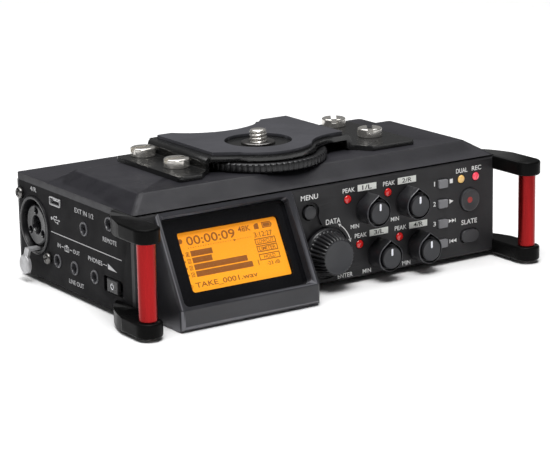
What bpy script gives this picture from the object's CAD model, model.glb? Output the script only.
import math

import bmesh
import bpy
from mathutils import Matrix, Vector


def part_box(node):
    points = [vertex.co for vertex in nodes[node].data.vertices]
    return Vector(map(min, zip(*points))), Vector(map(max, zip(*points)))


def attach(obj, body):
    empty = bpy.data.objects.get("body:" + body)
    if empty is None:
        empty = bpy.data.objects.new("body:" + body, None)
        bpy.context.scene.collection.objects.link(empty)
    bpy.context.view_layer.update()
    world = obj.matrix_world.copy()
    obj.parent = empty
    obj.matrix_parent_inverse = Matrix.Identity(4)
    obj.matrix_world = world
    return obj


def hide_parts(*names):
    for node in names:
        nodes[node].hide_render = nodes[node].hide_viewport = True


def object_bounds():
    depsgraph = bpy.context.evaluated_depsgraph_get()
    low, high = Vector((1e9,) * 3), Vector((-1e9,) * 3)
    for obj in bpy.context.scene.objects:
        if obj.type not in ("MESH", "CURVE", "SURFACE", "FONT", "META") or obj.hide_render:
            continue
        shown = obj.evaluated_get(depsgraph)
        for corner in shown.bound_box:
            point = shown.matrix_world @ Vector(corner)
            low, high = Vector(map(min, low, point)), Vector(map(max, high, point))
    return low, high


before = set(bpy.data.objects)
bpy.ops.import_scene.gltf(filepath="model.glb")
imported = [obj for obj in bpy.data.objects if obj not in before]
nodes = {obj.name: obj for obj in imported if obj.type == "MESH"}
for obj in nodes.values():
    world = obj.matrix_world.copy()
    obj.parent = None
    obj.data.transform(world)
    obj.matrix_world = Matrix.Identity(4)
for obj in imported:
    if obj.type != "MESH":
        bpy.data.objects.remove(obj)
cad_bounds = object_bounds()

MM = 0.001
scene = bpy.context.scene

# ---------------------------------------------------------------- places
panel_low, panel_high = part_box("front_panel")
FRONT = panel_low.y
BASE = panel_low.z
MIDDLE = (panel_low.x + panel_high.x) / 2


def at(x, y, z):
    """The frame's point for mm: x from the middle, y behind the front panel, z above the case's underside."""
    return Vector((MIDDLE + x * MM, FRONT + y * MM, BASE + z * MM))


def local(point):
    """A point of the frame in the same millimetres."""
    return ((point.x - MIDDLE) / MM, (point.y - FRONT) / MM, (point.z - BASE) / MM)


def span(node):
    low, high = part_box(node)
    return local(low), local(high)


def middle(node):
    low, high = span(node)
    return tuple((a + b) / 2 for a, b in zip(low, high))


# The axes of a drawing on each side of the case: across, upward and outward.
FACINGS = {
    "up": ((1, 0, 0), (0, 1, 0), (0, 0, 1)),
    "down": ((-1, 0, 0), (0, 1, 0), (0, 0, -1)),
    "front": ((1, 0, 0), (0, 0, 1), (0, -1, 0)),
    "back": ((-1, 0, 0), (0, 0, 1), (0, 1, 0)),
    "left": ((0, -1, 0), (0, 0, 1), (-1, 0, 0)),
    "right": ((0, 1, 0), (0, 0, 1), (1, 0, 0)),
}


def facing(direction, x, y, z, turn=0.0):
    """Matrix from a drawing in mm, whose own +Z looks outwards, to the frame."""
    across, upward, outward = FACINGS[direction]
    axes = Matrix((across, upward, outward)).transposed().to_4x4()
    spin = Matrix.Rotation(math.radians(turn), 4, "Z")
    return Matrix.Translation(at(x, y, z)) @ axes @ spin @ Matrix.Scale(MM, 4)


# ---------------------------------------------------------------- materials
def ramp(tree, factor, low, high, start=0.35, end=0.65):
    node = tree.nodes.new("ShaderNodeValToRGB")
    node.color_ramp.elements[0].position = start
    node.color_ramp.elements[1].position = end
    node.color_ramp.elements[0].color = (*low, 1)
    node.color_ramp.elements[1].color = (*high, 1)
    tree.links.new(factor, node.inputs["Fac"])
    return node.outputs["Color"]


def noise_node(tree, coords, scale, detail=4.0, roughness=0.55):
    node = tree.nodes.new("ShaderNodeTexNoise")
    node.inputs["Scale"].default_value = scale
    node.inputs["Detail"].default_value = detail
    node.inputs["Roughness"].default_value = roughness
    tree.links.new(coords, node.inputs["Vector"])
    return node.outputs["Fac"]


def grey(value):
    return (value, value, value)


GRAIN_DEPTH = 0.06 * MM
WORN_FROM, WORN_TO = 0.53, 0.60


def finish_of(name, base, spread=0.12, rough=0.45, rough_spread=0.08, metal=0.0, grain=2600.0, bump=0.12,
              coat=0.0, stretch=None, specular=0.5, wear=0.0, emission=None, strength=0.0, patch=70.0):
    """A moulded, painted or metal surface: mottled colour, uneven gloss, fine grain and slightly worn edges.

    grain and patch are the noise scales of the grain and the mottling; wear lightens the edges."""
    material = bpy.data.materials.new(name)
    material.use_nodes = True
    tree = material.node_tree
    shader = tree.nodes["Principled BSDF"]
    coords = tree.nodes.new("ShaderNodeTexCoord").outputs["Object"]
    if stretch:
        mapping = tree.nodes.new("ShaderNodeMapping")
        mapping.inputs["Scale"].default_value = stretch
        tree.links.new(coords, mapping.inputs["Vector"])
        coords = mapping.outputs["Vector"]
    low = tuple(c * (1 - spread) for c in base)
    high = tuple(min(1.0, c * (1 + spread) + 0.001) for c in base)
    mottled = ramp(tree, noise_node(tree, coords, patch, 5.0), low, high)
    if wear > 0:
        geometry = tree.nodes.new("ShaderNodeNewGeometry")
        edge = ramp(tree, geometry.outputs["Pointiness"], grey(0.0), grey(1.0), WORN_FROM, WORN_TO)
        mix = tree.nodes.new("ShaderNodeMix")
        mix.data_type = "RGBA"
        mix.inputs["B"].default_value = (*[min(1.0, c * (1 + wear) + 0.02 * wear) for c in base], 1)
        tree.links.new(edge, mix.inputs["Factor"])
        tree.links.new(mottled, mix.inputs["A"])
        mottled = mix.outputs["Result"]
    tree.links.new(mottled, shader.inputs["Base Color"])
    gloss = ramp(tree, noise_node(tree, coords, patch * 1.7, 6.0, 0.65),
                 grey(max(0.02, rough - rough_spread)), grey(min(1.0, rough + rough_spread)))
    tree.links.new(gloss, shader.inputs["Roughness"])
    shader.inputs["Metallic"].default_value = metal
    shader.inputs["Coat Weight"].default_value = coat
    shader.inputs["Coat Roughness"].default_value = 0.1
    shader.inputs["Specular IOR Level"].default_value = specular
    if emission:
        shader.inputs["Emission Color"].default_value = (*emission, 1)
        shader.inputs["Emission Strength"].default_value = strength
    if bump > 0:
        node = tree.nodes.new("ShaderNodeBump")
        node.inputs["Strength"].default_value = bump
        node.inputs["Distance"].default_value = GRAIN_DEPTH
        tree.links.new(noise_node(tree, coords, grain, 3.0, 0.6), node.inputs["Height"])
        tree.links.new(node.outputs["Normal"], shader.inputs["Normal"])
    return material


BODY = finish_of("body_paint", (0.0125, 0.0121, 0.0150), rough=0.40, grain=5200, bump=0.22, specular=0.20,
                 wear=0.4)
PANEL = finish_of("panel_paint", (0.0082, 0.0078, 0.0090), rough=0.48, grain=6000, bump=0.22, specular=0.30,
                  wear=0.4)
SIDE = finish_of("side_paint", (0.0036, 0.0034, 0.0041), rough=0.50, grain=6000, bump=0.18, specular=0.03,
                 wear=0.4)
BRACKET = finish_of("bracket_paint", grey(0.0030), rough=0.34, grain=5200, bump=0.08, specular=0.05,
                    wear=1.5)
HOUSING = finish_of("housing_plastic", (0.026, 0.026, 0.030), rough=0.38, grain=4200, bump=0.12,
                    specular=0.45, wear=2.5)
PLATE = finish_of("plate_gloss_black", grey(0.0085), rough=0.24, rough_spread=0.04, grain=1500, bump=0.02,
                  coat=0.25)
PAD = finish_of("pad_rubber", (0.034, 0.034, 0.040), rough=0.72, rough_spread=0.06, grain=2200, bump=0.7,
                specular=0.35, wear=2.0)
RED = finish_of("red_anodised", (0.29, 0.009, 0.010), rough=0.28, rough_spread=0.06, metal=0.88, grain=1800,
                bump=0.1, stretch=(1, 1, 0.05), patch=200.0, spread=0.32)
KNOB = finish_of("knob_soft_touch", (0.0075, 0.0075, 0.0092), rough=0.42, grain=4500, bump=0.12,
                 specular=0.35, wear=0.9)
KNOB_RIM = finish_of("knob_rim", (0.050, 0.050, 0.056), rough=0.30, grain=4500, bump=0.12)
KNOB_FACE = finish_of("knob_face", (0.0125, 0.0135, 0.0175), rough=0.38, grain=4500, bump=0.12)
DIAL_MAT = finish_of("dial_plastic", (0.0105, 0.0105, 0.0118), rough=0.36, grain=3600, bump=0.15, wear=1.2)
KEY = finish_of("key_grey", (0.180, 0.180, 0.190), rough=0.50, grain=3400, bump=0.25, wear=0.35)
KEY_BLACK = finish_of("key_black", (0.030, 0.030, 0.033), rough=0.45, grain=3400, bump=0.2, wear=0.5)
STEEL = finish_of("nickel_steel", (0.78, 0.755, 0.71), rough=0.22, rough_spread=0.04, metal=0.85, grain=900,
                  bump=0.02, patch=60.0, spread=0.05)
ZINC = finish_of("zinc_grey", (0.44, 0.44, 0.45), rough=0.45, rough_spread=0.12, metal=0.6, grain=1400,
                 bump=1.0, patch=400.0, spread=0.15)
BRASS = finish_of("brass", (0.62, 0.44, 0.18), rough=0.32, metal=1.0, grain=1200, bump=0.1)
JACK = finish_of("jack_plastic", (0.0065, 0.0065, 0.0075), rough=0.30, grain=3000, bump=0.12, specular=0.3,
                 wear=0.8)
JACK_RIM = finish_of("jack_rim", (0.045, 0.045, 0.050), rough=0.26, grain=3000, bump=0.08, wear=0.8)
WHEEL_BLACK = finish_of("wheel_black", (0.014, 0.014, 0.015), rough=0.30, grain=2600, bump=0.12, metal=0.4,
                        wear=1.0)
DARK_STEEL = finish_of("dark_steel", (0.16, 0.155, 0.15), rough=0.30, rough_spread=0.08, metal=1.0,
                       grain=900, bump=0.1)
CORE = finish_of("socket_core", (0.0065, 0.0065, 0.0080), rough=0.28, grain=3000, bump=0.15, wear=0.6)
DEEP = finish_of("inner_black", grey(0.006), rough=0.75, grain=2000, bump=0.2, specular=0.2)
BOARD_MAT = finish_of("board_green", (0.012, 0.075, 0.035), rough=0.4, grain=1500, bump=0.3, spread=0.3,
                      patch=500.0)
CELL = finish_of("cell_wrap", (0.03, 0.06, 0.14), rough=0.3, grain=900, bump=0.05, coat=0.4)
FOOT = finish_of("foot_rubber", grey(0.012), rough=0.8, grain=2000, bump=0.6, specular=0.3)
INK = finish_of("white_print", (0.74, 0.74, 0.73), rough=0.6, grain=3000, bump=0.05, spread=0.06,
                patch=900.0)
INK_BOX = finish_of("pale_print", (0.78, 0.79, 0.75), rough=0.6, grain=3000, bump=0.05, spread=0.06,
                    patch=900.0)
INK_SIDE = finish_of("grey_print", (0.50, 0.50, 0.51), rough=0.6, grain=3000, bump=0.05, spread=0.06,
                     patch=900.0)
MARK = finish_of("pointer_white", (0.86, 0.87, 0.92), rough=0.5, grain=3000, bump=0.05, spread=0.04)
RED_PRINT = finish_of("red_print", (0.36, 0.035, 0.030), rough=0.5, grain=3000, bump=0.05)
RED_LENS = finish_of("red_lens", (0.45, 0.008, 0.008), rough=0.12, rough_spread=0.03, grain=900, bump=0.02,
                     coat=0.8, emission=(1.0, 0.015, 0.012), strength=0.13, spread=0.2, patch=900.0)
ROSE_LENS = finish_of("rose_lens", (0.72, 0.05, 0.09), rough=0.12, rough_spread=0.03, grain=900, bump=0.02,
                      coat=0.8, emission=(1.0, 0.08, 0.12), strength=0.30, spread=0.2, patch=900.0)
AMBER_LENS = finish_of("amber_lens", (0.62, 0.40, 0.13), rough=0.14, rough_spread=0.03, grain=900,
                       bump=0.02, coat=0.8, emission=(0.9, 0.5, 0.12), strength=0.22, spread=0.15,
                       patch=900.0)
LCD_DARK = finish_of("lcd_surround", (0.004, 0.004, 0.005), rough=0.16, rough_spread=0.03, grain=900,
                     bump=0.01)
LCD_INK = finish_of("lcd_ink", (0.22, 0.068, 0.009), rough=0.6, grain=3000, bump=0.02,
                    emission=(0.46, 0.145, 0.013), strength=0.46, spread=0.08, patch=500.0)


def backlight():
    """The display's glow: amber, a little brighter towards the bottom, with a faint grain."""
    material = bpy.data.materials.new("lcd_backlight")
    material.use_nodes = True
    tree = material.node_tree
    shader = tree.nodes["Principled BSDF"]
    coords = tree.nodes.new("ShaderNodeTexCoord").outputs["Object"]
    split = tree.nodes.new("ShaderNodeSeparateXYZ")
    tree.links.new(coords, split.inputs["Vector"])
    height = tree.nodes.new("ShaderNodeMapRange")
    height.inputs["From Min"].default_value = at(0, 0, 8).z
    height.inputs["From Max"].default_value = at(0, 0, 28).z
    tree.links.new(split.outputs["Z"], height.inputs["Value"])
    glow = ramp(tree, height.outputs["Result"], (0.96, 0.37, 0.012), (0.86, 0.29, 0.010), 0.0, 1.0)
    tree.links.new(glow, shader.inputs["Base Color"])
    tree.links.new(glow, shader.inputs["Emission Color"])
    shader.inputs["Emission Strength"].default_value = 0.78
    shader.inputs["Roughness"].default_value = 0.5
    bump = tree.nodes.new("ShaderNodeBump")
    bump.inputs["Strength"].default_value = 0.05
    bump.inputs["Distance"].default_value = 0.02 * MM
    tree.links.new(noise_node(tree, coords, 3500.0), bump.inputs["Height"])
    tree.links.new(bump.outputs["Normal"], shader.inputs["Normal"])
    return material


BACKLIGHT = backlight()


def window_glass():
    """A clear acrylic sheet: mostly see-through, with a faint uneven gloss."""
    material = bpy.data.materials.new("window_acrylic")
    material.use_nodes = True
    tree = material.node_tree
    shader = tree.nodes["Principled BSDF"]
    coords = tree.nodes.new("ShaderNodeTexCoord").outputs["Object"]
    tint = ramp(tree, noise_node(tree, coords, 40.0), (0.02, 0.02, 0.022), (0.03, 0.03, 0.033))
    tree.links.new(tint, shader.inputs["Base Color"])
    gloss = ramp(tree, noise_node(tree, coords, 60.0), grey(0.05), grey(0.09))
    tree.links.new(gloss, shader.inputs["Roughness"])
    shader.inputs["Alpha"].default_value = 0.12
    shader.inputs["Specular IOR Level"].default_value = 0.4
    return material


WINDOW = window_glass()

# ---------------------------------------------------------------- mesh helpers
def put(name, bm, matrix, material, body, replaces=(), bevel=0.0, segments=2, angle=35.0,
        extra=()):
    """Turns a drawing in mm into a piece that rides on a body; extra holds its further materials."""
    bmesh.ops.transform(bm, matrix=matrix, verts=bm.verts)
    bmesh.ops.recalc_face_normals(bm, faces=bm.faces)
    mesh = bpy.data.meshes.new(name)
    bm.to_mesh(mesh)
    bm.free()
    piece = bpy.data.objects.new(name, mesh)
    scene.collection.objects.link(piece)
    for item in (material, *extra):
        mesh.materials.append(item)
    soften(piece, bevel, segments, angle)
    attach(piece, body)
    if replaces:
        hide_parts(*replaces)
    return piece


def soften(piece, bevel, segments, angle):
    """Smooth shading, with rounded edges where a bevel in mm is given and sharp edges kept elsewhere."""
    mesh = piece.data
    mesh.shade_smooth()
    if bevel > 0:
        cut = piece.modifiers.new("soft_edges", "BEVEL")
        cut.width = bevel * MM
        cut.segments = segments
        cut.limit_method = "ANGLE"
        cut.angle_limit = math.radians(angle)
        cut.harden_normals = True
        cut.use_clamp_overlap = True
        even = piece.modifiers.new("even_normals", "WEIGHTED_NORMAL")
        even.keep_sharp = True
    else:
        mesh.set_sharp_from_angle(angle=math.radians(angle))


def turned(profile, segments=72, wobble=None):
    """A shape turned about +Z from (radius, height) pairs; wobble may change the radius on its way round."""
    bm = bmesh.new()
    rings = []
    for radius, height in profile:
        if radius < 1e-6:
            rings.append([bm.verts.new((0, 0, height))])
            continue
        ring = []
        for n in range(segments):
            turn = 2 * math.pi * n / segments
            r = wobble(turn, radius, height) if wobble else radius
            ring.append(bm.verts.new((r * math.cos(turn), r * math.sin(turn), height)))
        rings.append(ring)
    for low, high in zip(rings, rings[1:]):
        for n in range(segments):
            a, b = low[n % len(low)], low[(n + 1) % len(low)]
            c, d = high[(n + 1) % len(high)], high[n % len(high)]
            corners = []
            for vert in (a, b, c, d):
                if vert not in corners:
                    corners.append(vert)
            if len(corners) > 2:
                bm.faces.new(corners)
    return bm


def plate_of(points, low, high):
    """A flat solid from a closed outline of (x, y) points."""
    bm = bmesh.new()
    bottom = [bm.verts.new((x, y, low)) for x, y in points]
    top = [bm.verts.new((x, y, high)) for x, y in points]
    bm.faces.new(bottom[::-1])
    bm.faces.new(top)
    for n in range(len(points)):
        m = (n + 1) % len(points)
        bm.faces.new((bottom[n], bottom[m], top[m], top[n]))
    return bm


def rounded_box(width, height, radius, steps=6, cx=0.0, cy=0.0):
    points = []
    for sx, sy, start in ((1, 1, 0), (-1, 1, 90), (-1, -1, 180), (1, -1, 270)):
        for n in range(steps + 1):
            turn = math.radians(start + 90 * n / steps)
            points.append((cx + sx * (width / 2 - radius) + radius * math.cos(turn),
                           cy + sy * (height / 2 - radius) + radius * math.sin(turn)))
    return points


def circle(radius, steps=32, cx=0.0, cy=0.0):
    return [(cx + radius * math.cos(2 * math.pi * n / steps), cy + radius * math.sin(2 * math.pi * n / steps))
            for n in range(steps)]


def merged(*parts):
    """One bmesh from several; each part is a bmesh with its material's place on the piece."""
    whole = bmesh.new()
    for bm, index in parts:
        for face in bm.faces:
            face.material_index = index
        mesh = bpy.data.meshes.new("part")
        bm.to_mesh(mesh)
        bm.free()
        whole.from_mesh(mesh)
        bpy.data.meshes.remove(mesh)
    return whole


def arc_points(cx, cy, radius, start, end, steps=14):
    turns = [math.radians(start + (end - start) * n / steps) for n in range(steps + 1)]
    return [(cx + radius * math.cos(turn), cy + radius * math.sin(turn)) for turn in turns]


# ---------------------------------------------------------------- the case keeps its CAD shape
def dress(node, material, bevel=0.0, segments=2, angle=30.0):
    """A CAD node that keeps its shape gets a finish and, where they show, edges rounded by a bevel in mm."""
    piece = nodes[node]
    piece.data.materials.clear()
    piece.data.materials.append(material)
    if bevel > 0:
        weld = piece.modifiers.new("weld", "WELD")
        weld.merge_threshold = 1e-6
        cut = piece.modifiers.new("soft_edges", "BEVEL")
        cut.width = bevel * MM
        cut.segments = segments
        cut.limit_method = "ANGLE"
        cut.angle_limit = math.radians(angle)
        cut.harden_normals = True


dress("top_cover", BODY, 1.5, 5, 14)
for name in ("rear_panel", "base_plate", "battery_door", "card_door"):
    dress(name, BODY, 0.15)
dress("front_panel", PANEL)
dress("screen_bezel", HOUSING, 0.45, 3)
dress("screen_window", WINDOW)
dress("mount_plate", PLATE, 0.35, 3)
dress("mount_pad", PAD, 0.3, 3)
for side in ("left", "right"):
    dress(side + "_panel", SIDE)
    dress(side + "_handle_frame", BRACKET, 0.6, 4)
for name in ("grip_screws", "case_screws", "data_shaft", "battery_contacts", "card_socket",
             "rotary_controls"):
    dress(name, STEEL)
for name in ("left_release_tab", "right_release_tab_1", "right_release_tab_2", "right_release_tab_3",
             "usb_socket"):
    dress(name, ZINC)
dress("power_slider", JACK)
for name in ("control_board", "main_board"):
    dress(name, BOARD_MAT)
for name in ("encoder_plunger", "switch_bodies", "battery_tray"):
    dress(name, DEEP)
dress("battery_cells", CELL)

# ---------------------------------------------------------------- level knobs, dial and buttons on the front
# Turned outlines are (radius, height) pairs in mm, with height 0 on the panel's face.
KNOB_R, KNOB_TIP, CAP_R = 5.1, 6.3, 4.8
TIP_HALF = math.acos(KNOB_R / KNOB_TIP)


def teardrop(turn, radius, height):
    """A round skirt drawn out to a point at twelve o'clock; the cap inside it stays round."""
    if radius < CAP_R or height < 0.5:
        return radius
    away = abs((turn - math.pi / 2 + math.pi) % (2 * math.pi) - math.pi)
    return radius if away > TIP_HALF else radius / math.cos(TIP_HALF - away)


def knob_centre(number):
    """A knob's axis as (x, z); its box is taller than wide, because the skirt's point is on top."""
    low, high = span("level_knob_%d" % number)
    return (low[0] + high[0]) / 2, low[2] + KNOB_R


def level_knob(number):
    x, z = knob_centre(number)
    skirt = turned([(0, 0.55), (4.6, 0.55), (4.95, 0.6), (KNOB_R, 0.9), (KNOB_R, 7.22)], 120, teardrop)
    rim = turned([(KNOB_R, 7.22), (4.98, 7.45), (4.85, 7.5), (CAP_R, 7.4)], 120, teardrop)
    cap = turned([(CAP_R, 7.4), (4.78, 5.9), (4.07, 5.9), (4.05, 7.7), (3.92, 8.04), (3.65, 8.2)], 120)
    face = turned([(3.65, 8.2), (3.4, 8.17), (2.2, 8.13), (0, 8.12)], 120)
    shaft = turned([(0, -5.9), (1.9, -5.9), (2.0, -5.8), (2.0, 0.6), (0, 0.6)], 32)
    pointer = plate_of(rounded_box(0.78, 2.5, 0.3, 4, 0, 2.05), 8.10, 8.195)
    bm = merged((skirt, 0), (rim, 3), (cap, 0), (face, 1), (shaft, 0), (pointer, 2))
    put("level_knob_piece_%d" % number, bm, facing("front", x, 0, z), KNOB, "knob_%d" % number,
        ["level_knob_%d" % number], extra=(KNOB_FACE, MARK, KNOB_RIM))


FLUTES = 30
FLUTE_BOTTOM, FLUTE_SHALLOW, FLUTE_TOP = 1.75, 7.9, 8.12


def fluted(turn, radius, height):
    """The dial's grip: grooves between ribs, shallower where the grip rounds into its face."""
    if height < FLUTE_BOTTOM or height > FLUTE_TOP:
        return radius
    depth = 0.6 if height < FLUTE_SHALLOW else 0.35
    wave = 0.5 - 0.5 * math.cos(FLUTES * turn)
    return radius - depth * (1 - wave ** 0.45)


def data_dial():
    x, _, z = middle("data_dial")
    grip = turned([(0, -0.18), (8.6, -0.18), (8.8, 0.0), (8.8, 1.0), (8.62, 1.35), (8.35, 1.55), (8.15, 1.7),
                   (8.05, 1.95), (7.9, 2.6), (7.45, 4.6), (7.0, 6.6), (6.6, 7.5), (6.35, 7.95), (6.05, 8.14)],
                  FLUTES * 12, fluted)
    face = turned([(6.05, 8.14), (5.7, 8.2), (5.4, 8.12), (0, 8.1)], FLUTES * 12)
    bm = merged((grip, 0), (face, 1))
    bmesh.ops.remove_doubles(bm, verts=bm.verts, dist=1e-4)
    put("data_dial_piece", bm, facing("front", x, 0, z), DIAL_MAT, "dial", ["data_dial"],
        extra=(KNOB_FACE,), angle=50)


STEM_R, STEM_END = 1.2, -4.6
FLANGE_BACK, FLANGE_FRONT = -3.6, -2.9


def round_key(node, body, material, radius, crown, dot=None):
    """A round push key on its stem; dot is the radius of a red dot in the middle of a dished key."""
    x, _, z = middle(node)
    edge = radius + 1.0
    under = [(0, STEM_END), (STEM_R, STEM_END), (STEM_R, FLANGE_BACK - 0.05), (edge, FLANGE_BACK),
             (edge, FLANGE_FRONT - 0.05), (radius, FLANGE_FRONT)]
    parts = [(turned(under + [(radius, 0.0)] + crown, 64), 0)]
    if dot:
        parts.append((turned([(dot, 0.30), (dot, 0.60), (dot - 0.12, 0.64), (0, 0.60)], 40), 1))
    bm = merged(*parts)
    put(node + "_piece", bm, facing("front", x, 0, z), material, body, [node], extra=(RED_PRINT,),
        angle=40)


def flat_key(node, body, material, radius, width, height):
    """A rectangular push key with rounded corners on its stem."""
    x, _, z = middle(node)
    cap = plate_of(rounded_box(width, height, radius, 6), FLANGE_FRONT, 0.9)
    flange = plate_of(rounded_box(width + 1.2, height + 1.2, 0.3, 3), FLANGE_BACK, FLANGE_FRONT)
    stem = turned([(0, STEM_END), (STEM_R, STEM_END), (STEM_R, FLANGE_BACK), (0, FLANGE_BACK)], 24)
    bm = merged((cap, 0), (flange, 0), (stem, 0))
    put(node + "_piece", bm, facing("front", x, 0, z), material, body, [node], bevel=0.28, segments=3)


def buttons():
    dome = [(2.4, 0.1), (2.32, 0.32), (2.05, 0.47), (1.2, 0.54), (0, 0.56)]
    round_key("menu_button", "menu_key", KEY_BLACK, 2.4, dome)
    dish = [(4.2, 0.62), (4.1, 0.86), (3.85, 0.98), (3.5, 0.97), (2.6, 0.78), (1.4, 0.62), (0, 0.55)]
    round_key("record_button", "record_key", KEY_BLACK, 4.2, dish, 1.15)
    flat_key("slate_button", "slate_key", KEY_BLACK, 2.3, 7.8, 4.7)
    for name in ("stop", "play", "forward", "rewind"):
        flat_key(name + "_button", name + "_key", KEY, 0.45, 4.0, 3.1)


LENS_R = 1.5


def lens(name, x, z, material):
    """A domed lamp in a thin black ring."""
    dome = turned([(0, -5.9), (LENS_R, -5.9), (LENS_R, 0.02), (1.42, 0.26), (1.2, 0.47), (0.85, 0.61),
                   (0.4, 0.68), (0, 0.7)], 40)
    ring = turned([(LENS_R, -0.3), (LENS_R, 0.05), (1.62, 0.1), (1.74, 0.04), (1.76, -0.02), (1.7, -0.3),
                   (LENS_R, -0.3)], 40)
    bm = merged((dome, 0), (ring, 1))
    return put(name, bm, facing("front", x, 0, z), material, "chassis", extra=(DEEP,))


def lamps():
    """Lamps in the corners of their nodes' boxes; all peak lamps keep the first one's place by its knob."""
    low, high = span("peak_leds")
    centres = [knob_centre(number) for number in range(1, 5)]
    offset = low[0] + LENS_R - centres[0][0]
    rise = high[2] - LENS_R - centres[0][1]
    peaks = [lens("peak_lamp_%d" % n, x + offset, z + rise, RED_LENS) for n, (x, z) in enumerate(centres, 1)]
    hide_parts("peak_leds")
    low, high = span("status_leds")
    dual = lens("dual_lamp", low[0] + LENS_R, low[2] + LENS_R, AMBER_LENS)
    record = lens("record_lamp", high[0] - LENS_R, high[2] - LENS_R, ROSE_LENS)
    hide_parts("status_leds")


# ---------------------------------------------------------------- print helpers
FILM = 0.03
PRINT_GAP = 0.005


def words(text, bold):
    """Lettering as a film of print; bold is how far its edges grow, in mm."""
    curve = bpy.data.curves.new("words", "FONT")
    curve.body = text
    curve.size = 2.0
    curve.align_x = "CENTER"
    curve.align_y = "CENTER"
    curve.extrude = FILM / 2
    curve.offset = bold
    curve.resolution_u = 3
    holder = bpy.data.objects.new("words", curve)
    scene.collection.objects.link(holder)
    bpy.context.view_layer.update()
    mesh = bpy.data.meshes.new_from_object(holder.evaluated_get(bpy.context.evaluated_depsgraph_get()))
    bm = bmesh.new()
    bm.from_mesh(mesh)
    bpy.data.objects.remove(holder)
    bpy.data.curves.remove(curve)
    bpy.data.meshes.remove(mesh)
    return bm


def label(text, cx, cy, width, height, low=0.0, bold=0.02):
    """Lettering stretched to a width and height around (cx, cy); low is the height it stands on."""
    bm = words(text, bold)
    xs = [v.co.x for v in bm.verts]
    ys = [v.co.y for v in bm.verts]
    fit = Matrix.Diagonal((width / (max(xs) - min(xs)), height / (max(ys) - min(ys)), 1, 1))
    shift = Matrix.Translation((-(max(xs) + min(xs)) / 2, -(max(ys) + min(ys)) / 2, 0.0))
    place = Matrix.Translation((cx, cy, low + FILM / 2))
    bmesh.ops.transform(bm, matrix=place @ fit @ shift, verts=bm.verts)
    return bm


def film(points):
    """A closed outline as a film of print."""
    return plate_of(points, 0.0, FILM)


def bar(cx, cy, width, height):
    return film([(cx - width / 2, cy - height / 2), (cx + width / 2, cy - height / 2),
                 (cx + width / 2, cy + height / 2), (cx - width / 2, cy + height / 2)])


def frame_of(width, height, line, cx, cy):
    """A thin rectangular outline."""
    sides = ((0, 1, width, line), (0, -1, width, line), (1, 0, line, height), (-1, 0, line, height))
    return merged(*[(bar(cx + sx * (width - line) / 2, cy + sy * (height - line) / 2, w, h), 0)
                    for sx, sy, w, h in sides])


def triangle(cx, cy, width, height, sign=1):
    """An arrowhead that points right, or left when sign is -1."""
    return film([(cx - sign * width / 2, cy - sign * height / 2), (cx + sign * width / 2, cy),
                 (cx - sign * width / 2, cy + sign * height / 2)])


def stroke(points, width):
    """A thin ribbon along (x, y) points."""
    left, right = [], []
    for n, (x, y) in enumerate(points):
        ax, ay = points[max(0, n - 1)]
        bx, by = points[min(len(points) - 1, n + 1)]
        length = math.hypot(bx - ax, by - ay)
        nx, ny = -(by - ay) / length, (bx - ax) / length
        left.append((x + nx * width / 2, y + ny * width / 2))
        right.append((x - nx * width / 2, y - ny * width / 2))
    return film(left + right[::-1])


def one_piece(films, others=()):
    """All films as one bmesh: the first list takes the piece's own material and the second its extra one."""
    return merged(*[(bm, 0) for bm in films], *[(bm, 1) for bm in others])


# ---------------------------------------------------------------- printed legends
def front_legends():
    """Each label is (text, x, z, width, height) in mm; the knobs' and keys' marks follow their nodes."""
    ink, pale, dark = [], [], []
    for text, x, z, width, height in (("MENU", -6.0, 32.0, 7.2, 1.8), ("DATA", 3.9, 22.0, 6.2, 1.9),
                                      ("ENTER", 8.8, 1.6, 6.4, 1.6), ("DUAL", 60.9, 32.1, 5.2, 1.7),
                                      ("REC", 67.7, 32.2, 4.3, 1.7), ("SLATE", 64.4, 12.6, 7.2, 1.8)):
        ink.append(label(text, x, z, width, height))
    for number, name in enumerate(("1/L", "2/R", "3/L", "4/R"), 1):
        x, z = knob_centre(number)
        ink.append(label("PEAK", x - 7.8, z + 7.9, 5.2, 1.6))
        ink.append(label("MIN", x - 5.3, z - 5.5, 3.6, 1.5))
        pale.append(bar(x + 0.1, z + 8.0, 8.1, 2.35))
        dark.append(label(name, x + 0.1, z + 8.0, 4.2, 1.6, FILM))
    for name, digit in (("stop", "1"), ("play", "2"), ("forward", "3")):
        x, _, z = middle(name + "_button")
        ink.append(label(digit, x - 3.6, z + 0.3, 0.45 if digit == "1" else 1.15, 1.7))
    x, _, z = middle("stop_button")
    ink.append(bar(x + 4.0, z + 0.4, 1.4, 1.6))
    x, _, z = middle("play_button")
    ink.append(triangle(x + 4.1, z + 0.3, 1.9, 1.7))
    x, _, z = middle("forward_button")
    ink += [triangle(x + 3.6, z + 0.4, 1.4, 1.4), triangle(x + 5.0, z + 0.4, 1.4, 1.4),
            bar(x + 5.9, z + 0.4, 0.3, 1.4)]
    x, _, z = middle("rewind_button")
    ink += [triangle(x + 4.3, z + 0.2, 1.4, 1.4, -1), triangle(x + 5.7, z + 0.2, 1.4, 1.4, -1),
            bar(x + 3.4, z + 0.2, 0.3, 1.4)]
    dial_x, _, dial_z = middle("data_dial")
    sweep = arc_points(dial_x, dial_z, 10.9, 56, 16)
    ink.append(stroke(sweep, 0.32))
    for (tip_x, tip_z), heading in ((sweep[0], 146), (sweep[-1], -74)):
        a = math.radians(heading)
        c, s = math.cos(a), math.sin(a)
        corners = [(tip_x + c * along - s * across, tip_z + s * along + c * across)
                   for along, across in ((0.9, 0), (-0.4, 0.6), (-0.4, -0.6))]
        ink.append(film(corners))
    place = facing("front", 0, -PRINT_GAP, 0)
    put("front_print", one_piece(ink), place, INK, "chassis")
    put("channel_boxes", one_piece(pale, dark), place, INK_BOX, "chassis", extra=(PANEL,))


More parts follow.
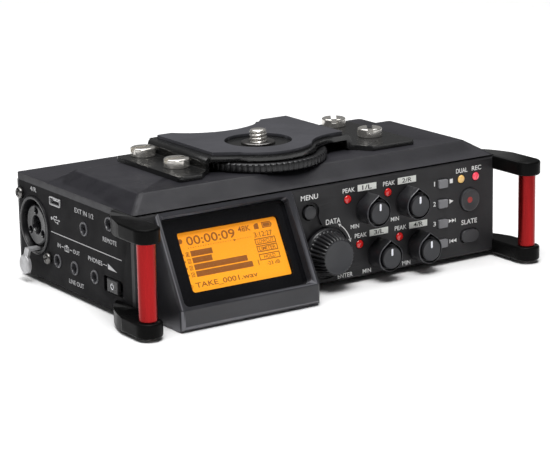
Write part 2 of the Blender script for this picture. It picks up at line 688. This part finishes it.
def left_legends():
    """Each label is (text, y, z, width, height) in mm; this side's drawings run forwards, so they use -y."""
    marks = []
    for text, y, z, width, height in (("4/R", 71.3, 31.9, 4.6, 1.6), ("EXT IN 1/2", 34.2, 30.3, 13.2, 1.7),
                                      ("REMOTE", 16.8, 24.0, 9.3, 1.6), ("IN", 53.3, 15.0, 2.3, 1.5),
                                      ("OUT", 40.8, 15.0, 4.8, 1.5), ("PHONES", 27.4, 15.0, 9.8, 1.6),
                                      ("LINE OUT", 41.6, 3.7, 10.6, 1.6)):
        marks.append(label(text, -y, z, width, height, bold=0.0))
    marks.append(bar(-33.95, 18.95, 49.8, 0.28))
    marks += [bar(-50.7, 15.0, 1.5, 0.25), bar(-44.7, 15.0, 1.5, 0.25), bar(-21.3, 15.0, 0.9, 0.25),
              bar(-19.9, 15.0, 0.9, 0.25)]
    marks.append(film([(-18.6, 14.0), (-12.6, 14.0), (-18.6, 15.9)]))
    marks.append(frame_of(3.2, 2.0, 0.3, -47.7, 14.8))
    marks.append(bar(-47.7, 16.0, 1.3, 0.45))
    marks.append(stroke(arc_points(-47.7, 14.8, 0.5, 0, 359, 16), 0.2))
    marks.append(bar(-55.3, 23.9, 5.2, 0.28))
    marks.append(film(circle(0.55, 16, -58.1, 23.9)))
    marks.append(triangle(-52.4, 23.9, 1.0, 1.0))
    marks.append(stroke([(-57.0, 23.9), (-56.1, 24.9), (-54.7, 24.9)], 0.25))
    marks.append(film(circle(0.4, 12, -54.4, 24.9)))
    marks.append(stroke([(-56.2, 23.9), (-55.3, 22.9), (-54.0, 22.9)], 0.25))
    marks.append(bar(-53.7, 22.9, 0.75, 0.75))
    low, _ = span("left_panel")
    put("left_print", one_piece(marks), facing("left", low[0] - PRINT_GAP, 0, 0), INK_SIDE, "chassis")
    low, high = span("power_slider")
    y, z = (low[1] + high[1]) / 2, (low[2] + high[2]) / 2
    symbol = one_piece([stroke(arc_points(0, 0, 0.95, -230, 50, 20), 0.28), bar(0, 0.75, 0.28, 1.1)])
    place = facing("left", low[0] - PRINT_GAP, y, z)
    put("power_symbol", symbol, place, MARK, "power_key")


def right_legends():
    _, high = span("right_panel")
    names = zip(right_socket_ys(), ("1/L", "2/R", "3/L"))
    marks = [label(name, y, 31.9, 4.6, 1.6) for y, name in names]
    put("right_print", one_piece(marks), facing("right", high[0] + PRINT_GAP, 0, 0), INK_SIDE, "chassis")


# ---------------------------------------------------------------- display
# FACE_FOOT and FACE_TOP are the tilted face's lower and upper edge as (y, z). PICTURE is the lit picture on
# it: left and right end across the case, then lower and upper end up the slope. Depths run inwards.
FACE_FOOT = (-16.0, 5.7)
FACE_TOP = (0.0, 35.4)
PICTURE = (-60.2, -20.0, 5.9, 26.9)
MASK_DEPTH, INK_DEPTH, GLOW_DEPTH = 3.18, 4.38, 4.40


def on_screen(depth):
    """Matrix for drawings on the tilted face: +X across, +Y up the slope, +Z outwards."""
    dy, dz = FACE_TOP[0] - FACE_FOOT[0], FACE_TOP[1] - FACE_FOOT[1]
    length = math.hypot(dy, dz)
    upward = Vector((0, dy / length, dz / length))
    across = Vector((1, 0, 0))
    outward = across.cross(upward)
    place = Matrix((across, upward, outward)).transposed().to_4x4()
    inwards = Matrix.Translation((0, 0, -depth))
    return Matrix.Translation(at(0, *FACE_FOOT)) @ place @ Matrix.Scale(MM, 4) @ inwards


def display():
    x0, x1, y0, y1 = PICTURE
    width, height = x1 - x0, y1 - y0
    cx, cy = (x0 + x1) / 2, (y0 + y1) / 2
    glow = plate_of(rounded_box(width, height, 1.0, 6, cx, cy), -0.6, 0.0)
    put("lcd_glow", glow, on_screen(GLOW_DEPTH), BACKLIGHT, "chassis")
    module = plate_of(rounded_box(44.0, 23.8, 0.8, 4, cx, cy), -2.4, -0.65)
    put("lcd_back", module, on_screen(GLOW_DEPTH), LCD_DARK, "chassis", ["lcd_module"])
    mask = plate_of(rounded_box(50.6, 31.0, 1.9, 6, -41.05, 16.65), 0.0, 0.10)
    hole = plate_of(rounded_box(width, height, 1.0, 6, cx, cy), -1, 1)
    put("screen_mask", carved(mask, hole), on_screen(MASK_DEPTH), LCD_DARK, "chassis")

    def u(share):
        """Across the picture, from its left edge."""
        return x0 + share * width

    def v(share):
        """Down the picture, from its top edge."""
        return y1 - share * height

    ink = [film(circle(0.85, 20, u(0.03), v(0.135)))]
    ink.append(label("00:00:09", u(0.327), v(0.15), 19.2, 3.1))
    ink.append(label("48K", u(0.665), v(0.11), 5.0, 2.0))
    ink.append(film([(u(0.765), v(0.155)), (u(0.81), v(0.155)), (u(0.81), v(0.06)), (u(0.785), v(0.06)),
                     (u(0.765), v(0.085))]))
    ink.append(frame_of(3.6, 2.0, 0.3, u(0.89), v(0.105)))
    ink.append(bar(u(0.89), v(0.105), 2.7, 1.2))
    ink.append(bar(u(0.94), v(0.105), 0.35, 0.9))
    for n in range(26):
        ink.append(bar(u(0.09 + n * 0.0245), v(0.262), 0.28, 0.28))
    ink.append(film([(u(0.544), v(0.295)), (u(0.554), v(0.255)), (u(0.534), v(0.255))]))
    meter_start, meter_ends = 0.097, (0.308, 0.288, 0.618, 0.655)
    for row, end in enumerate(meter_ends):
        level = 0.362 + row * 0.113
        ink.append(bar(u((meter_start + end) / 2), v(level), (end - meter_start) * width, 1.95))
        ink.append(frame_of(1.2, 1.55, 0.2, u(0.065), v(level)))
        ink.append(label(str(row + 1), u(0.065), v(level), 0.45, 0.85))
        ink.append(triangle(u(0.024), v(level), 0.8, 1.1))
    ink.append(bar(u(0.712), v(0.70), 0.3, 1.9))
    ink.append(label("3:12:27", u(0.835), v(0.247), 7.4, 1.8))
    for text, level in (("LOWCUT", 0.365), ("LIMITER", 0.487), ("HOLD", 0.625)):
        ink.append(frame_of(8.3, 2.25, 0.32, u(0.838), v(level)))
        ink.append(label(text, u(0.838), v(level), 4.6 if text == "HOLD" else 6.6, 1.3))
    ink.append(label("-23 dB", u(0.857), v(0.742), 5.2, 1.3))
    ink.append(label("TAKE_0001.wav", u(0.365), v(0.885), 24.5, 2.1))
    ink.append(stroke([(u(0.018), v(0.915)), (u(0.034), v(0.885)), (u(0.018), v(0.855))], 0.2))
    put("lcd_marks", one_piece(ink), on_screen(INK_DEPTH), LCD_INK, "chassis")


# ---------------------------------------------------------------- camera platform
def carved(bm, *cutters):
    """Cuts closed shapes out of a closed shape."""
    holders = []
    for shape in (bm, *cutters):
        bmesh.ops.recalc_face_normals(shape, faces=shape.faces)
        mesh = bpy.data.meshes.new("carve")
        shape.to_mesh(mesh)
        shape.free()
        holder = bpy.data.objects.new("carve", mesh)
        scene.collection.objects.link(holder)
        holders.append(holder)
    for cutter in holders[1:]:
        cut = holders[0].modifiers.new("cut", "BOOLEAN")
        cut.operation = "DIFFERENCE"
        cut.solver = "EXACT"
        cut.object = cutter
    bpy.context.view_layer.update()
    result = bpy.data.meshes.new_from_object(holders[0].evaluated_get(bpy.context.evaluated_depsgraph_get()))
    out = bmesh.new()
    out.from_mesh(result)
    bpy.data.meshes.remove(result)
    for holder in holders:
        mesh = holder.data
        bpy.data.objects.remove(holder)
        bpy.data.meshes.remove(mesh)
    return out


KNURLS = 72
THREAD_PITCH = 1.27


def mount_wheel():
    x, y, _ = middle("mount_wheel")
    low, high = span("mount_wheel")
    z0, z1 = low[2], high[2]
    outer = (high[0] - low[0]) / 2

    def knurl(turn, radius, height):
        if radius < outer - 0.5:
            return radius
        return radius - 0.38 * max(0.0, -math.cos(KNURLS * turn)) ** 0.7

    bore = 2.65
    profile = [(bore, z0), (21.5, z0), (outer - 0.6, z0 + 0.05), (outer - 0.1, z0 + 0.4), (outer, z0 + 0.7),
               (outer, z1 - 0.7), (outer - 0.1, z1 - 0.4), (outer - 0.6, z1 - 0.05), (21.6, z1),
               (21.0, z1 - 0.25), (12.0, z1 - 0.25), (11.6, z1), (bore, z1), (bore, z0)]
    put("mount_wheel_piece", turned(profile, KNURLS * 8, knurl), facing("up", x, y, 0), WHEEL_BLACK, "wheel",
        ["mount_wheel"], angle=50)


def camera_stud():
    """A threaded stud: rings of points whose radius follows the thread, over a plain shank."""
    x, y, _ = middle("camera_stud")
    low, high = span("camera_stud")
    outer = (high[0] - low[0]) / 2
    root = outer - 0.55
    start, end = 47.4, high[2]
    shank_r = 2.6
    around, rows = 56, int((end - start) / THREAD_PITCH * 10)
    bm = bmesh.new()
    grid = []
    for row in range(rows + 1):
        z = start + (end - start) * row / rows
        taper = min(1.0, max(0.0, (end - z) / 0.9))
        ring = []
        for n in range(around):
            phase = ((z - start) / THREAD_PITCH - n / around) % 1.0
            crest = 1 - abs(2 * phase - 1)
            radius = root + (outer - root) * min(1.0, crest * 1.35)
            radius = min(radius, root - 0.15 + (outer - root + 0.15) * taper ** 0.6)
            a = 2 * math.pi * n / around
            ring.append(bm.verts.new((radius * math.cos(a), radius * math.sin(a), z)))
        grid.append(ring)
    for lower, upper in zip(grid, grid[1:]):
        for n in range(around):
            m = (n + 1) % around
            bm.faces.new((lower[n], lower[m], upper[m], upper[n]))
    bm.faces.new(grid[-1])
    bm.faces.new(grid[0][::-1])
    shank = turned([(0, low[2]), (shank_r - 0.1, low[2]), (shank_r, low[2] + 0.1), (shank_r, start + 0.2),
                    (0, start + 0.2)], around)
    put("camera_stud_piece", merged((bm, 0), (shank, 0)), facing("up", x, y, 0, 35), STEEL, "wheel",
        ["camera_stud"], angle=75)


def stud_collar():
    x, y, _ = middle("stud_collar")
    low, high = span("stud_collar")
    z0, z1 = low[2], high[2]
    profile = [(3.2, z0), (6.0, z0), (6.1, z0 + 0.1), (6.1, z1 - 0.25), (5.9, z1 - 0.05), (5.7, z1),
               (3.7, z1), (3.35, z1 - 0.15), (3.2, z1 - 0.3), (3.2, z0)]
    put("stud_collar_piece", turned(profile, 80), facing("up", x, y, 0), DARK_STEEL, "chassis",
        ["stud_collar"])


def plate_screws():
    low, high = span("plate_screws")
    head, seat, top = 4.5, 42.8, high[2]
    rows = (low[1] + head, high[1] - head)
    shown = []
    for side, turn in ((-1, 0.0), (1, 57.0)):
        x = high[0] - head if side > 0 else low[0] + head
        for y in rows:
            body = turned([(0, low[2]), (1.9, low[2]), (1.95, low[2] + 0.2), (1.95, seat),
                           (head - 0.15, seat), (head, seat + 0.15), (head, top - 0.55),
                           (head - 0.14, top - 0.22), (head - 0.5, top - 0.02), (head - 0.9, top),
                           (0, top)], 72)
            slot = plate_of([(-6, -1.0), (6, -1.0), (6, 1.0), (-6, 1.0)], top - 1.5, top + 1)
            place = facing("up", x, y, 0, turn)
            piece = put("plate_screw_%d" % (len(shown) + 1), carved(body, slot), place, STEEL, "chassis",
                        bevel=0.12, angle=50)
            shown.append(piece)
    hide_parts("plate_screws")


# ---------------------------------------------------------------- sockets on the sides
SOCKET_PROUD = 0.6
SCREW_ASIDE, SCREW_UP = 9.8, 10.1


def right_socket_ys():
    """Places of the three right sockets, from the front to the rear."""
    low, high = span("right_combo_jacks")
    radius = (high[2] - low[2]) / 2
    return [low[1] + radius, (low[1] + high[1]) / 2, high[1] - radius]


def combo_socket(direction, x, y, z, name):
    """A ring around a three-pin core with a jack hole in its middle and a key block at the top."""
    ring = turned([(9.3, -14.0), (9.3, 0.2), (9.45, 0.5), (9.75, SOCKET_PROUD), (10.35, SOCKET_PROUD),
                   (10.55, 0.45), (10.6, 0.2), (10.6, -19.4), (0, -19.4), (0, -14.0), (9.3, -14.0)], 96)
    core = turned([(0, -14.5), (7.4, -14.5), (7.4, -1.1), (7.25, -0.75), (6.9, -0.52), (6.4, -0.5),
                   (5.9, -0.62), (0, -0.62)], 96)
    tools = [turned([(0, -13.0), (3.2, -13.0), (3.2, -1.2), (3.7, -0.4), (3.7, 0.5), (0, 0.5)], 48)]
    for angle in (90, 210, 330):
        a = math.radians(angle)
        hole = turned([(0, -12.0), (1.3, -12.0), (1.3, -1.0), (1.55, -0.5), (1.55, 0.5), (0, 0.5)], 32)
        place = Matrix.Translation((5.2 * math.cos(a), 5.2 * math.sin(a), 0))
        bmesh.ops.transform(hole, matrix=place, verts=hole.verts)
        tools.append(hole)
    core = carved(core, *tools)
    key = plate_of([(-1.1, 7.2), (1.1, 7.2), (0.9, 9.35), (-0.9, 9.35)], -13.5, -1.6)
    bm = merged((ring, 0), (core, 1), (key, 0))
    piece = put(name, bm, facing(direction, x, y, z), JACK, "chassis", extra=(CORE,), angle=40)
    return piece


def sockets():
    low, high = span("left_combo_jack")
    y, z = (low[1] + high[1]) / 2, (low[2] + high[2]) / 2
    piece = combo_socket("left", low[0] + SOCKET_PROUD, y, z, "combo_socket_left")
    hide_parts("left_combo_jack")
    _, high = span("right_combo_jacks")
    pieces = [combo_socket("right", high[0] - SOCKET_PROUD, y, z, "combo_socket_right_%d" % n)
              for n, y in enumerate(right_socket_ys(), 1)]
    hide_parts("right_combo_jacks")


def pan_screw(turn):
    """A pan-head screw with a cross recess, turned by some degrees."""
    head = turned([(0, -4.7), (1.2, -4.7), (1.25, -4.5), (1.25, 0.0), (2.05, 0.0), (2.1, 0.1), (2.1, 0.75),
                   (1.98, 1.15), (1.65, 1.48), (1.1, 1.66), (0.5, 1.7), (0, 1.7)], 48)
    cross = []
    for angle in (turn, turn + 90):
        blade = plate_of([(-1.3, -0.28), (1.3, -0.28), (1.3, 0.28), (-1.3, 0.28)], 0.75, 2.2)
        bmesh.ops.transform(blade, matrix=Matrix.Rotation(math.radians(angle), 4, "Z"), verts=blade.verts)
        cross.append(blade)
    return carved(head, *cross)


def jack_screws():
    low, high = span("left_combo_jack")
    sites = [("left", low[0] + SOCKET_PROUD, (low[1] + high[1]) / 2)]
    low, high = span("right_combo_jacks")
    sites += [("right", high[0] - SOCKET_PROUD, y) for y in right_socket_ys()]
    z = (low[2] + high[2]) / 2
    shown = []
    for direction, x, y in sites:
        for side in (-1, 1):
            place = facing(direction, x, y + side * SCREW_ASIDE, z + side * SCREW_UP)
            screw = pan_screw(20 + 31 * len(shown))
            piece = put("socket_screw_%d" % (len(shown) + 1), screw, place, DARK_STEEL, "chassis")
            shown.append(piece)
    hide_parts("jack_screws")


# Centres of the small jack sockets as (y, z): external input and remote above, in, out and phones below.
MINI_JACKS = ((34.6, 24.7), (16.8, 30.0), (54.7, 9.1), (42.3, 9.1), (28.1, 9.1))


def mini_jacks():
    shown = []
    low, _ = span("mini_jacks")
    for y, z in MINI_JACKS:
        bm = turned([(1.8, -13.5), (1.8, 0.1), (1.92, 0.36), (2.15, 0.45), (2.35, 0.4), (2.5, 0.2),
                     (2.5, 0.0), (2.15, 0.0), (2.15, -1.85), (3.1, -1.85), (3.1, -14.0), (0, -14.0),
                     (0, -13.5), (1.8, -13.5)], 56)
        place = facing("left", low[0] + 0.45, y, z)
        piece = put("mini_jack_%d" % (len(shown) + 1), bm, place, JACK_RIM, "chassis")
        shown.append(piece)
    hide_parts("mini_jacks")


# ---------------------------------------------------------------- handle bars, feet and small fittings
def handle_bars():
    """Red tubes whose thinner ends sit in the handle frames."""
    for side in ("left", "right"):
        node = side + "_handle_bar"
        x, y, _ = middle(node)
        low, high = span(node)
        z0, z1 = low[2] + 3.0, high[2] - 3.4
        bm = turned([(1.25, low[2]), (1.95, low[2]), (2.0, low[2] + 0.1), (2.0, z0), (2.9, z0),
                     (3.1, z0 + 0.2), (3.1, z1 - 0.2), (2.9, z1), (2.0, z1), (2.0, high[2]), (0, high[2]),
                     (0, z0 + 4), (1.25, z0 + 4), (1.25, low[2])], 72)
        put(side + "_bar_piece", bm, facing("up", x, y, 0), RED, "chassis", [node])


FOOT_R = 5.0


def feet():
    low, high = span("rubber_feet")
    shown = []
    for x in (low[0] + FOOT_R, high[0] - FOOT_R):
        for y in (low[1] + FOOT_R, high[1] - FOOT_R):
            bm = turned([(0, 0.05), (FOOT_R, 0.05), (FOOT_R, 1.3), (4.85, 1.75), (4.5, 2.0), (3.9, 2.0),
                         (3.7, 1.85), (0, 1.8)], 56)
            piece = put("foot_%d" % (len(shown) + 1), bm, facing("down", x, y, 0), FOOT, "chassis")
            shown.append(piece)
    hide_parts("rubber_feet")


def tripod_insert():
    x, y, _ = middle("tripod_socket")
    bore, groove = 2.75, 3.08
    profile = [(0, -7.0), (bore, -7.0)]
    height = -6.6
    while height < -0.5:
        profile += [(bore, height), (groove, height + 0.3), (groove, height + 0.42), (bore, height + 0.72)]
        height += THREAD_PITCH
    profile += [(2.8, -0.45), (3.15, -0.05), (4.85, 0.0), (5.0, -0.12), (5.0, -1.62), (8.0, -1.62),
                (8.0, -3.0), (5.0, -3.0), (5.0, -8.6), (0, -8.6)]
    put("tripod_insert_piece", turned(profile, 64), facing("down", x, y, 0), BRASS, "chassis",
        ["tripod_socket"], angle=30)


for number in range(1, 5):
    level_knob(number)
data_dial()
buttons()
lamps()
front_legends()
left_legends()
right_legends()
display()
mount_wheel()
camera_stud()
stud_collar()
plate_screws()
sockets()
jack_screws()
mini_jacks()
handle_bars()
feet()
tripod_insert()

# ---------------------------------------------------------------- floor, light and camera
FLOOR_HALF = 6.0
FLOOR_GAP = 0.0001


def stage_floor():
    bm = bmesh.new()
    bmesh.ops.create_grid(bm, x_segments=8, y_segments=8, size=FLOOR_HALF)
    mesh = bpy.data.meshes.new("floor")
    bm.to_mesh(mesh)
    bm.free()
    floor = bpy.data.objects.new("floor", mesh)
    scene.collection.objects.link(floor)
    floor.location.z = cad_bounds[0].z - FLOOR_GAP
    paper = finish_of("floor_paper", grey(0.86), spread=0.01, rough=0.9, grain=300, bump=0.0, specular=0.1)
    mesh.materials.append(paper)


def softbox(name, place, target, size, power, tall=None):
    """An area light aimed at a point; sizes and places in metres, power in watts."""
    data = bpy.data.lights.new(name, "AREA")
    data.shape = "RECTANGLE"
    data.size = size
    data.size_y = tall or size
    data.energy = power
    lamp = bpy.data.objects.new(name, data)
    scene.collection.objects.link(lamp)
    lamp.location = place
    lamp.rotation_mode = "QUATERNION"
    lamp.rotation_quaternion = (Vector(target) - Vector(place)).to_track_quat("-Z", "Y")


def studio():
    world = bpy.data.worlds.new("studio")
    scene.world = world
    world.use_nodes = True
    background = world.node_tree.nodes["Background"]
    background.inputs["Color"].default_value = (1.0, 1.0, 1.0, 1)
    background.inputs["Strength"].default_value = 0.10
    softbox("overhead", (0.0, 0.5, 1.5), (0, 0.35, 0.0), 2.2, 26.0, 1.4)
    softbox("key", (-0.25, -0.42, 1.15), (0, 0, 0.02), 0.6, 14.0)
    softbox("side", (-1.2, -0.3, 0.5), (-0.05, 0, 0.02), 0.5, 0.6)


# The camera's angles are in degrees, its distance and target in mm, and its lens in mm on a 36 mm sensor.
CAMERA_AZIMUTH = -33.38
CAMERA_ELEVATION = 14.22
CAMERA_ROLL = -1.086
CAMERA_DISTANCE = 758.33
CAMERA_TARGET = (-20.449, 0.0, 24.416)
CAMERA_LENS = 144.66


def camera():
    a, e = math.radians(CAMERA_AZIMUTH), math.radians(CAMERA_ELEVATION)
    back = Vector((math.sin(a) * math.cos(e), -math.cos(a) * math.cos(e), math.sin(e)))
    right = Vector((math.cos(a), math.sin(a), 0))
    upward = back.cross(right)
    roll = math.radians(CAMERA_ROLL)
    x_axis = right * math.cos(roll) + upward * math.sin(roll)
    y_axis = upward * math.cos(roll) - right * math.sin(roll)
    data = bpy.data.cameras.new("camera")
    data.lens = CAMERA_LENS
    data.sensor_width = 36.0
    data.clip_start = 0.01
    eye = bpy.data.objects.new("camera", data)
    scene.collection.objects.link(eye)
    axes = Matrix((x_axis, y_axis, back)).transposed().to_4x4()
    eye.matrix_world = Matrix.Translation(at(*CAMERA_TARGET) + back * CAMERA_DISTANCE * MM) @ axes
    scene.camera = eye


scene.view_settings.view_transform = "Standard"
stage_floor()
studio()
camera()
